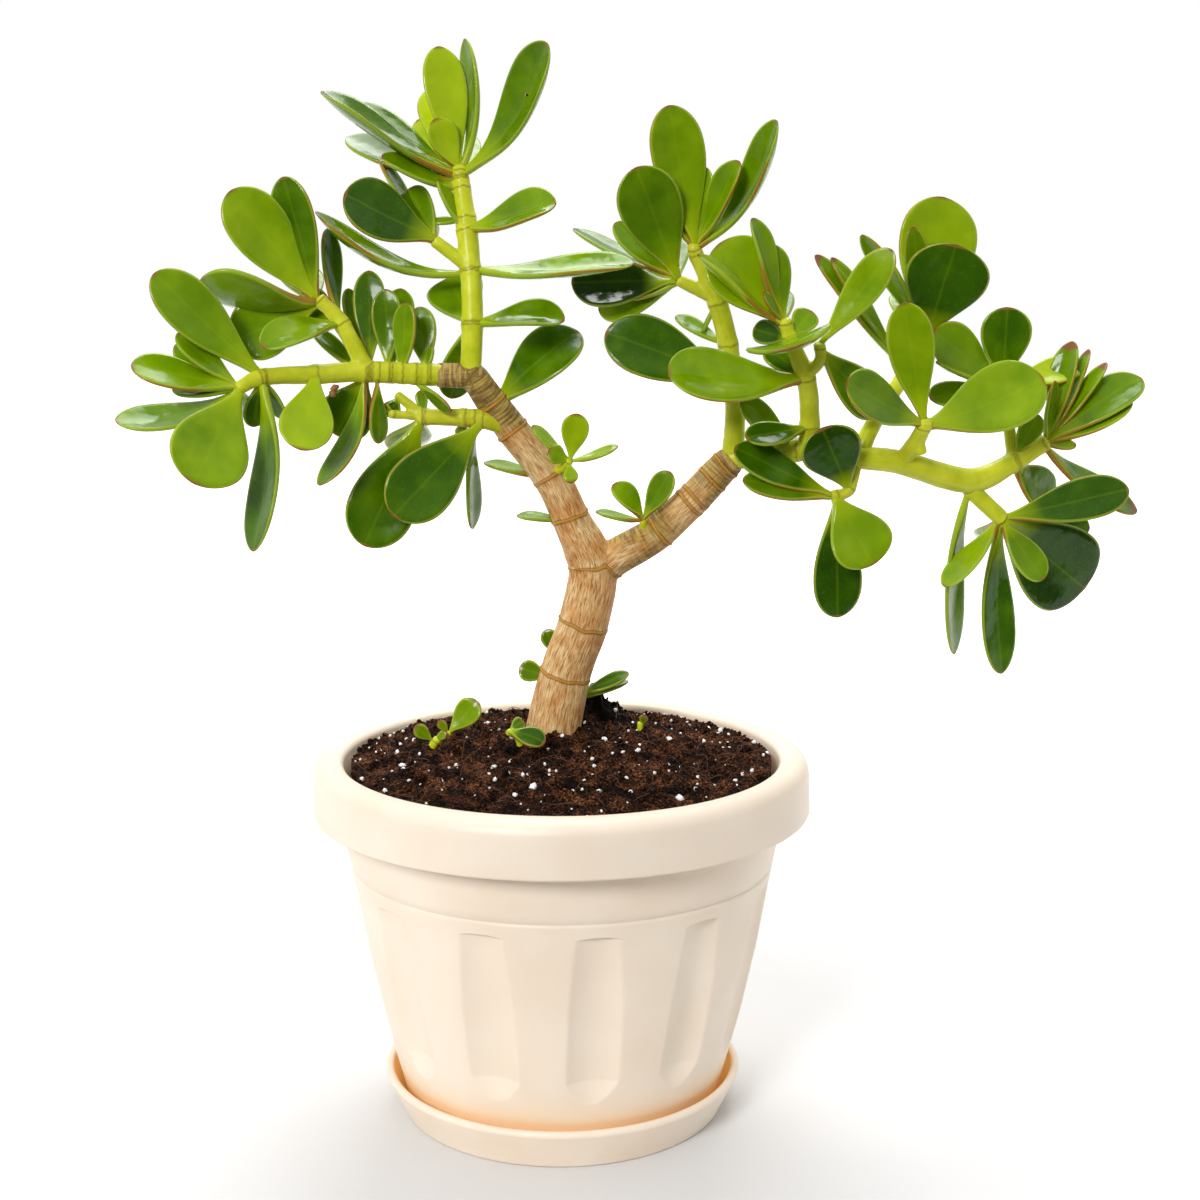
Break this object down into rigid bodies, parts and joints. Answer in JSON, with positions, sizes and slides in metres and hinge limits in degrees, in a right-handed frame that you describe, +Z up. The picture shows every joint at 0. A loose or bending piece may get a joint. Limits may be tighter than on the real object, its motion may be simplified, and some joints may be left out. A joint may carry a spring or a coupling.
{
  "type": "potted jade bonsai",
  "caption": "Small jade plant grown as a bonsai: forked woody trunk, leafy green branches and seedlings, in soil in a round fluted pot on a saucer.",
  "frame": {"origin": "on the pot's axis, at the underside of the saucer, where the part stands", "axes": "+Z up; -Y towards the plant's front, as the picture shows it; +X to the right in that view"},
  "size_m": [0.403, 0.2, 0.428],
  "materials": {
    "pot_plastic": "moulded cream plastic, satin",
    "potting_soil": "dark fibrous potting mix with white grains",
    "bark": "tan papery bark with ring scars",
    "jade_leaf": "thick waxy green leaf with a reddish rim",
    "young_leaf": "bright waxy green young leaf"
  },
  "bodies": {
    "root": {"saucer": "pot_plastic", "pot": "pot_plastic", "soil": "potting_soil", "trunk": "bark", "left_leader": "jade_leaf", "limb_leaf": "jade_leaf", "left_arm": "jade_leaf", "lower_left_arm": "jade_leaf", "ring_leaf": "jade_leaf", "fork_leaf": "jade_leaf", "right_leader": "jade_leaf", "right_arm": "jade_leaf", "middle_shoot": "jade_leaf", "front_shoot": "jade_leaf", "back_shoot": "jade_leaf", "lower_mid_shoot": "jade_leaf", "drooping_shoot": "jade_leaf", "basal_leaf_left": "jade_leaf", "basal_leaf_back": "jade_leaf", "basal_leaves_right": "jade_leaf", "trunk_shoot_left": "young_leaf", "trunk_shoot_right": "young_leaf", "seedling_left": "young_leaf", "seedling_front": "young_leaf", "seedling_right": "young_leaf"}
  },
  "joints": []
}
